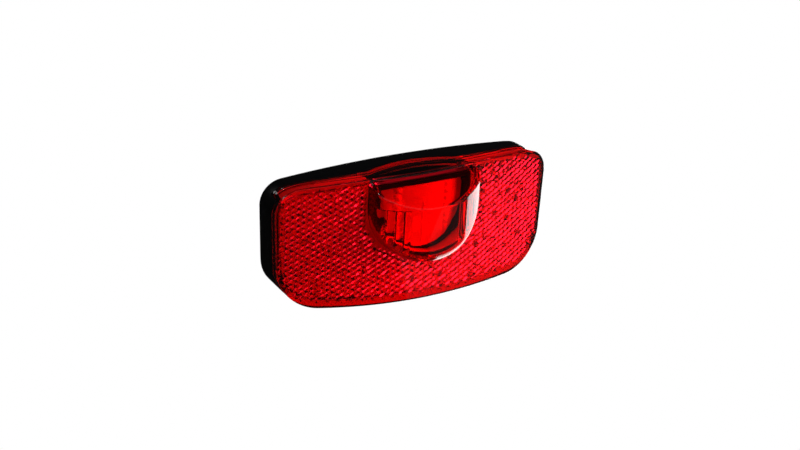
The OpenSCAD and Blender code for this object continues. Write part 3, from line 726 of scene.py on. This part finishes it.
class REARLIGHT_OT_lens(bpy.types.Operator):
    """Model the lens as one moulding: front with prisms behind it, skirt with its lines, and dome"""

    bl_idname = "rear_light.lens"
    bl_label = "Lens"

    def execute(self, context):
        s, p = context.scene.rear_light_lens, context.scene.rear_light_prism
        tones = context.scene.rear_light_finish
        self.hub = dome_centre(s)
        self.angles = (np.arange(SPOKES) + 0.5) * TAU / SPOKES
        skin = Skin()
        outside = self.dome(s, 0.0)[::-1] + self.plate(s) + self.skirt(s)
        starts = skin.loft(outside)
        skin.close(starts[0], SPOKES, True)
        # The skirt's rear edge, the bands inside it and the two rings in front of them
        rear = len(BANDS) + 3
        self.frost(s, skin, starts[-rear:])
        inside = skin.loft(self.dome(s, s.dome_wall))
        self.paint_light_crescent(s, skin, inside)
        skin.close(inside[-1], SPOKES, False)
        self.field(s, p, skin, starts[-1], inside[0])
        lens = skin.build("lens_shell")
        put(lens, "lens", "lens_red", clear_plastic("lens_plastic", tones.lens), "front_lens")
        # Frost on the skirt's top, and painted light in the crescent inside the dome's foot
        lens.data.materials.append(finish("frost_and_painted_light_plastic", tones.frost, roughness=0.5))
        # Painted shade: the darker copy of the frosted plastic
        lens.data.materials.append(finish("shaded_frost_plastic", tones.shaded_frost, roughness=0.5))
        self.bosses(s, tones)
        return {"FINISHED"}

    def at(self, points):
        """Where the lens's spokes meet an outline."""
        return spokes(points, self.hub, self.angles)

    def dome(self, s, d):
        """Rings of the dome drawn in by d, from the plate to the middle of its front."""
        steps_round, steps_front = 24, 44
        foot = self.at(dome_outline(s, d))
        rings = []
        if d == 0:
            limit = bow(s, foot[:, 0]) - s.dome_fillet
            for share in (1.0, 0.3):
                xz = self.at(dome_outline(s, -s.dome_fillet * share))
                rings.append(ring(xz, bow(s, xz[:, 0]) - s.dome_fillet * (1 - share) ** 2))
        else:
            limit = bow(s, foot[:, 0], s.skin) - s.dome_fillet
            rings.append(ring(foot, bow(s, foot[:, 0], s.skin)))
        for turn in np.linspace(0, math.pi / 2, steps_round):
            inset = s.dome_edge * (1 - math.cos(turn))
            xz = self.at(dome_outline(s, d + inset))
            depth = dome_depth(s, xz, inset, d) + (flutes(s, xz) if d else 0)
            rings.append(ring(xz, np.minimum(depth, limit)))
        rim = rings[-1][:, [0, 2]]
        middle = rim.mean(axis=0)
        for share in np.linspace(1, 0, steps_front, endpoint=False)[1:]:
            xz = middle + (rim - middle) * share
            rings.append(ring(xz, dome_depth(s, xz, s.dome_edge, d) + (flutes(s, xz) if d else 0)))
        return rings

    def plate(self, s):
        """Rings of the front plate, from the dome to the rim.

        A close ring at either end keeps the smooth shading of the rounded edges off the plate.
        """
        inner = self.at(dome_outline(s, -s.dome_fillet))
        outer = self.at(outline(s, s.rim))
        rings = []
        close, steps = 0.006, 14
        for share in (close, *np.linspace(0, 1, steps)[1:-1], 1 - close, 1):
            xz = inner + (outer - inner) * share
            rings.append(ring(xz, bow(s, xz[:, 0])))
        return rings

    def skirt(self, s):
        """Rings of the rounded rim, the skirt with its lines, and the skirt's inside."""
        rings = []
        bevel, steps_round = 0.15 * MM, 7
        for turn in np.linspace(0, math.pi / 2, steps_round)[1:]:
            xz = self.at(outline(s, s.rim * (1 - math.sin(turn))))
            rings.append(ring(xz, bow(s, xz[:, 0]) + s.rim * (1 - math.cos(turn))))
        front, back = self.at(outline(s, 0)), self.at(outline(s, 0, 1.0))
        start = rings[-1][:, 1]
        seam = seam_depth(s, front)
        reach = np.clip((seam - start) / (s.top_skirt - s.rim), 0, 1)
        steps = []
        for k in (2, 1):
            middle = seam - k * s.groove_step * reach
            half = 0.5 * s.groove_width * reach
            steps += [(middle - half, 0), (middle, s.groove_depth * reach), (middle + half, 0)]
        steps += [(seam - bevel, 0), (seam, bevel)]
        deep = bow(s, front[:, 0], s.wall_start)
        steps += [(seam + (deep - seam) * share, s.wall) for share in BANDS]
        halfway = (bow(s, front[:, 0], (s.wall_start + s.skin) / 2), (s.wall + s.edge_wall) / 2)
        steps += [halfway, (bow(s, front[:, 0], s.skin), s.edge_wall)]
        return rings + [self.skirt_ring(s, front, back, y, inset) for y, inset in steps]

    def skirt_ring(self, s, front, back, y, inset):
        """A ring of the skirt at depth y, drawn in by inset."""
        share = (y + s.front) / (s.front - s.back_round)
        xz = front + (back - front) * share[:, None]
        along = np.roll(front, -1, axis=0) - np.roll(front, 1, axis=0)
        out = np.column_stack([along[:, 1], -along[:, 0]])
        out /= np.hypot(*out.T)[:, None]
        return ring(xz - out * np.broadcast_to(inset, len(front))[:, None], y)

    def frost(self, s, skin, starts):
        """Frosts the skirt's inside: bands along the top, and, in a darker copy that paints shade, the
        arched window's rear edge and the foot.
        """
        window_half = 18.5 * MM
        end, *bands = starts
        # Every second band, and all that lies in front of the bands
        top = {*bands[:len(BANDS) - 1:2], *bands[-3:]}
        for k, face in enumerate(skin.faces):
            start = min(face) // SPOKES * SPOKES
            x, _, z = skin.points[face[0]]
            if z > s.skirt_foot and start in top and abs(x) > window_half:
                skin.finishes[k] = FROST_AND_PAINTED_LIGHT
            # Painted shade: the arch's rear band and the skirt's foot get the darker copy of the frost
            elif z > s.skirt_foot and start == bands[0] or z < -s.skirt_foot and start >= end:
                skin.finishes[k] = SHADED_FROST

    def paint_light_crescent(self, s, skin, starts):
        """Frosts a crescent along the dome's foot, inside, that runs out upwards: painted light that stands
        in for the light the dome's wall carries.
        """
        most_rings, run_out = 12, 12 * MM
        for k, face in enumerate(skin.faces):
            number = (min(face) - starts[0]) // SPOKES
            z = skin.points[face[0]][2]
            if 0 <= number < most_rings * min((s.lit_crescent_top - z) / run_out, 1):
                skin.finishes[k] = FROST_AND_PAINTED_LIGHT

    def field(self, s, p, skin, rim, hole):
        """The plate's inside between the skirt and the dome: the prisms, and the plain strip round them."""
        # Side of a six-sided cell
        self.side = p.pitch / math.sqrt(3)
        cells = self.cells(s, p, np.array(skin.points[rim:rim + SPOKES])[:, [0, 2]])
        plain, border = self.prisms(s, p, skin, cells)
        numbers = [*range(rim, rim + SPOKES), *range(hole, hole + SPOKES), *plain.values()]
        flat = np.array([[skin.points[k][0], skin.points[k][2]] for k in numbers])
        order = {number: k for k, number in enumerate(numbers)}
        edges = [(i, (i + 1) % SPOKES) for i in range(SPOKES)]
        edges += [(SPOKES + a, SPOKES + b) for a, b in edges]
        edges += [(order[plain[a]], order[plain[b]]) for a, b in border]
        result = delaunay_2d_cdt([Vector(point / MM) for point in flat], edges, [], 0, 1e-6)
        triangles = [[result[3][corner][0] for corner in triangle] for triangle in result[2]]
        middles = flat[triangles].mean(axis=1)
        keep = within(middles, flat[:SPOKES], self.hub) & ~within(middles, flat[SPOKES:2 * SPOKES], self.hub)
        taken = set(cells)
        for triangle, middle, kept in zip(triangles, middles, keep):
            if kept and self.cell_at(p, *middle) not in taken:
                skin.face([numbers[corner] for corner in reversed(triangle)])

    def place(self, p, i, j):
        """Where a corner or the middle of a cell lies, in x and z."""
        return i * self.side / 2, p.shift + j * p.pitch / 2

    def cell_at(self, p, x, z):
        """The cell of the lattice that holds a point."""
        column = round(x / (1.5 * self.side))
        found = []
        for c in (column - 1, column, column + 1):
            row = 2 * round(((z - p.shift) / (p.pitch / 2) - c) / 2) + c
            cx, cz = self.place(p, 3 * c, row)
            found.append((math.hypot(x - cx, z - cz), (3 * c, row)))
        return min(found)[1]

    def corners(self, i, j):
        """A cell's six corners, in steps of the lattice."""
        return [(i + a, j + b) for a, b in ((2, 0), (1, 1), (-1, 1), (-2, 0), (-1, -1), (1, -1))]

    def cells(self, s, p, edge):
        """Places of the cells that fit whole between the skirt's inside and the dome."""
        hole = dome_outline(s, -p.dome_gap)
        columns = int(s.width / 2 / (1.5 * self.side)) + 1
        rows = int(s.width / p.pitch)
        found = []
        for c in range(-columns, columns + 1):
            for j in range(-rows, rows + 1):
                if (c + j) % 2:
                    continue
                loop = np.array([self.place(p, *corner) for corner in self.corners(3 * c, j)])
                if np.abs(loop[:, 0]).max() >= s.width / 2 - p.side_edge:
                    continue
                held = within(loop, edge, self.hub, p.edge).all()
                if held and not within(loop, hole, self.hub).any():
                    found.append((3 * c, j))
        return found

    def prisms(self, s, p, skin, cells):
        """Adds the prisms; gives back the plain corners along the field's border, and the border's edges.

        Each column of cells has one depth, so that every prism is the true corner of a cube; small steps
        join the columns.
        """
        rise = p.pitch / math.sqrt(6)
        random = np.random.default_rng(p.seed)
        places, deep, plain, owner = {}, {}, {}, {}

        def sunk(corner, column, level):
            """The point of a column's prisms at a corner, so many levels deep."""
            if corner not in places:
                places[corner] = np.array(self.place(p, *corner)) + random.uniform(-p.stray, p.stray, 2)
            if (corner, column) not in deep:
                x, z = places[corner]
                base = bow(s, self.place(p, column, 0)[0], s.skin) + p.base + p.step
                deep[corner, column] = skin.add([(x, base + level * rise, z)])
            return deep[corner, column]

        for cell in cells:
            around, column = self.corners(*cell), cell[0]
            back = [sunk(corner, column, k % 2) for k, corner in enumerate(around)]
            tip = sunk(cell, column, 2)
            for k in (1, 3, 5):
                skin.face((tip, back[(k + 2) % 6], back[(k + 1) % 6], back[k]))
            for a, b in zip(around, around[1:] + around[:1]):
                owner[a, b] = column
        border = [edge for edge in owner if edge[::-1] not in owner]
        for a, b in border:
            for corner in (a, b):
                if corner not in plain:
                    x, z = self.place(p, *corner)
                    plain[corner] = skin.add([(x, bow(s, x, s.skin), z)])
            skin.face((plain[a], deep[a, owner[a, b]], deep[b, owner[a, b]], plain[b]))
        for (a, b), column in owner.items():
            other = owner.get((b, a), column)
            if other > column:
                skin.face((deep[a, other], deep[a, column], deep[b, column], deep[b, other]))
        return plain, border

    def bosses(self, s, tones):
        """The two tubes that take the lens screws, behind the backing."""
        material = finish("boss_plastic", tones.backing, roughness=0.3)
        radius, hole, bevel, pin = 2.5 * MM, 1.18 * MM, 0.3 * MM, 0.2 * MM
        behind, end, spare = 3.0 * MM, -6 * MM, 0.5 * MM
        middle = (SCREW_LOW + SCREW_HIGH) / 2
        _, circle = unit_circle()
        start = bow(s, middle.x, behind)
        for side, name in ((-1, "lens_boss_left"), (1, "lens_boss_right")):
            centre = np.array([side * middle.x, middle.z])
            steps = [(pin, start), (radius, start), (radius, end - bevel), (radius - bevel, end)]
            steps += [(hole, end), (hole, SCREW_LOW.y - spare)]
            tube = Skin().body([ring(centre + circle * r, y) for r, y in steps])
            put(tube.build(name), "lens", "lens_red", material)


class REARLIGHT_OT_lamp_unit(bpy.types.Operator):
    """Model the optic and finish the bezel and the LEDs"""

    bl_idname = "rear_light.lamp_unit"
    bl_label = "Lamp unit"

    def execute(self, context):
        s, o = context.scene.rear_light_lens, context.scene.rear_light_optic
        tones = context.scene.rear_light_finish
        bezel = finish("bezel_plastic", tones.bezel, roughness=0.45, Specular_IOR_Level=0.3)
        node_finish(bezel, "led_bezel")
        self.optic(s, o, tones)
        node_finish(clear_plastic("led_epoxy", tones.epoxy), "led_left", "led_right", "led_lower")
        return {"FINISHED"}

    def optic(self, s, o, tones):
        """The barrel-fronted optic with two columns of beads and an upright middle line."""
        r, top = OPTIC_HIGH.x, OPTIC_HIGH.z
        _, cz = dome_centre(s)
        columns, rows = 97, 97
        bulge = (OPTIC_HIGH.y - OPTIC_LOW.y) - o.edge
        barrel = (r * r + bulge * bulge) / (2 * bulge)
        skin = Skin()
        for layer in (0, 1):
            for i in range(columns):
                x = -r + 2 * r * i / (columns - 1)
                low = cz - math.sqrt(max(r * r - x * x, 0))
                past = max(abs(x) - r + o.corner, 0)
                high = top - o.corner + math.sqrt(o.corner ** 2 - past * past)
                for j in range(rows):
                    z = low + (high - low) * j / (rows - 1)
                    y = OPTIC_HIGH.y
                    if layer == 0:
                        y = OPTIC_LOW.y + barrel - math.sqrt(barrel ** 2 - x * x)
                        off = max(1 - (2 * (abs(x) - o.bead_place) / o.bead) ** 2, 0)
                        y += o.bead_height * (1 - off * abs(math.sin(math.pi * z / o.bead)))
                        if abs(x) < o.seam / 2 and z < o.seam_top:
                            y -= o.seam_height
                    skin.add([(x, y, z)])
        n = columns * rows
        for i in range(columns - 1):
            for j in range(rows - 1):
                a = i * rows + j
                skin.face((a, a + rows, a + rows + 1, a + 1))
                skin.face((n + a + 1, n + a + rows + 1, n + a + rows, n + a))
        rim = [i * rows for i in range(columns)]
        rim += [(columns - 1) * rows + j for j in range(1, rows)]
        rim += [i * rows + rows - 1 for i in range(columns - 2, -1, -1)]
        rim += [j for j in range(rows - 2, 0, -1)]
        for a, b in zip(rim, rim[1:] + rim[:1]):
            skin.face((n + a, n + b, b, a))
        optic = skin.build("optic_body", smooth_angle=40)
        plastic = clear_plastic("optic_plastic", tones.optic, roughness=0.06, transmission=0.3)
        put(optic, "housing", "optic_orange", plastic, "led_optic")


class REARLIGHT_OT_housing(bpy.types.Operator):
    """Finish the housing, the backing and the seals"""

    bl_idname = "rear_light.housing"
    bl_label = "Housing"

    def execute(self, context):
        tones = context.scene.rear_light_finish
        sheen = {"grain": 700.0, "bump": 0.04, "Specular_IOR_Level": 0.08}
        shell = finish("housing_plastic", tones.housing, roughness=0.3, **sheen)
        node_finish(shell, "rear_housing")
        self.smooth("rear_housing", "led_bezel", "reflex_backing", "seal_strip")
        node_finish(finish("backing_plastic", tones.backing, roughness=0.35), "reflex_backing")
        rubber = finish("soft_rubber", tones.rubber, roughness=0.8, bump=0.1)
        node_finish(rubber, "seal_strip", "terminal_grommet", "capacitor_pad")
        node_finish(finish("cap_plastic", tones.bezel, roughness=0.5), "stud_caps")
        return {"FINISHED"}

    def smooth(self, *names):
        """Smooth shading over the small facets of a solid, sharp at its real edges."""
        for name in names:
            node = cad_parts[name]
            node.data.polygons.foreach_set("use_smooth", [True] * len(node.data.polygons))
            weld = node.modifiers.new("weld", "WELD")
            weld.merge_threshold = 0.002 * MM
            split = node.modifiers.new("sharp_edges", "EDGE_SPLIT")
            split.split_angle = math.radians(28)


class REARLIGHT_OT_electronics(bpy.types.Operator):
    """Finish the circuit board, its parts and the blades"""

    bl_idname = "rear_light.electronics"
    bl_label = "Electronics"

    def execute(self, context):
        tones = context.scene.rear_light_finish
        node_finish(finish("solder_mask", tones.board, roughness=0.35, grain=400.0), "circuit_board")
        package = finish("component_package", tones.package, roughness=0.5)
        node_finish(package, "bridge_rectifier", "controller_chip", "resistors", "surge_diodes")
        sleeve = finish("shrink_sleeve", tones.sleeve, roughness=0.25)
        node_finish(sleeve, "standlight_capacitor", "smoothing_capacitor")
        brass = finish("tinned_brass", tones.brass, roughness=0.3, grain=2500.0, Metallic=1.0)
        node_finish(brass, "live_terminal", "earth_terminal")
        return {"FINISHED"}


class REARLIGHT_OT_fasteners(bpy.types.Operator):
    """Model the threaded studs and finish the screws"""

    bl_idname = "rear_light.fasteners"
    bl_label = "Fasteners"

    def execute(self, context):
        k = context.scene.rear_light_stud
        tones = context.scene.rear_light_finish
        steel = finish("zinc_steel", tones.steel, roughness=0.32, grain=2000.0, Metallic=1.0)
        node_finish(steel, "board_screws", "lens_screw_left", "lens_screw_right")
        for side, name in ((-1, "rack_stud_left"), (1, "rack_stud_right")):
            stud = self.stud(k, side * k.spacing / 2).build(name, smooth_angle=30)
            put(stud, "housing", "steel", steel)
        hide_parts("rack_studs")
        return {"FINISHED"}

    def stud(self, k, x):
        """A hexagon head, a collar and a threaded end, as one skin of rings."""
        pin, crown, core = 0.3 * MM, 0.2 * MM, k.radius - k.depth
        tip, tip_bevel, run_out, steps = STUDS_HIGH.y, 0.5 * MM, 0.6 * MM, 8
        chamfer, shoulder = 0.35 * MM, 0.6 * MM
        a, circle = unit_circle()
        sector = (a + TAU / 12) % (TAU / 6) - TAU / 12
        hexagon = circle * (k.flats / 2 / np.cos(sector))[:, None]
        centre = np.array([x, 0.0])
        under, face = -k.back, -k.back - k.head
        rings = [
            ring(centre + circle * pin, face),
            ring(centre + circle * (k.flats / 2 - crown), face),
            ring(centre + hexagon * 0.99, face + chamfer),
            ring(centre + hexagon, face + shoulder),
            ring(centre + hexagon, under),
            ring(centre + circle * k.collar, under),
            ring(centre + circle * k.collar, 0),
        ]
        for y in np.arange(0, tip - run_out, k.pitch / steps):
            phase = (y / k.pitch - a / TAU) % 1
            radius = k.radius - k.depth * np.abs(2 * phase - 1)
            rings.append(ring(centre + circle * radius[:, None], y))
        rings += [
            ring(centre + circle * core, tip - tip_bevel),
            ring(centre + circle * (core - tip_bevel), tip),
            ring(centre + circle * pin, tip),
        ]
        return Skin().body(rings)


class REARLIGHT_PT_panel(bpy.types.Panel):
    """Lists the steps that build the rear light's looks"""

    bl_idname = "REARLIGHT_PT_panel"
    bl_label = "Rear Light"
    bl_space_type = "VIEW_3D"
    bl_region_type = "UI"
    bl_category = "Rear Light"

    def draw(self, context):
        for operator in OPERATORS:
            self.layout.operator(operator.bl_idname)
        for name, group in GROUPS.items():
            box = self.layout.box()
            box.label(text=group.__name__)
            for key in group.__annotations__:
                box.prop(getattr(context.scene, name), key)


OPERATORS = (
    REARLIGHT_OT_stage,
    REARLIGHT_OT_lens,
    REARLIGHT_OT_lamp_unit,
    REARLIGHT_OT_housing,
    REARLIGHT_OT_electronics,
    REARLIGHT_OT_fasteners,
)


def register():
    """Registers the sizes, the operators and the panel."""
    for group in GROUPS.values():
        bpy.utils.register_class(group)
    for cls in (*OPERATORS, REARLIGHT_PT_panel):
        bpy.utils.register_class(cls)
    for name, group in GROUPS.items():
        setattr(bpy.types.Scene, name, PointerProperty(type=group))


def unregister():
    """Takes out again what register put in."""
    for name in GROUPS:
        delattr(bpy.types.Scene, name)
    for cls in (REARLIGHT_PT_panel, *reversed(OPERATORS), *GROUPS.values()):
        bpy.utils.unregister_class(cls)


def main():
    """Builds the looks step by step."""
    register()
    bpy.ops.rear_light.stage()
    bpy.ops.rear_light.lens()
    bpy.ops.rear_light.lamp_unit()
    bpy.ops.rear_light.housing()
    bpy.ops.rear_light.electronics()
    bpy.ops.rear_light.fasteners()


if __name__ == "__main__":
    main()
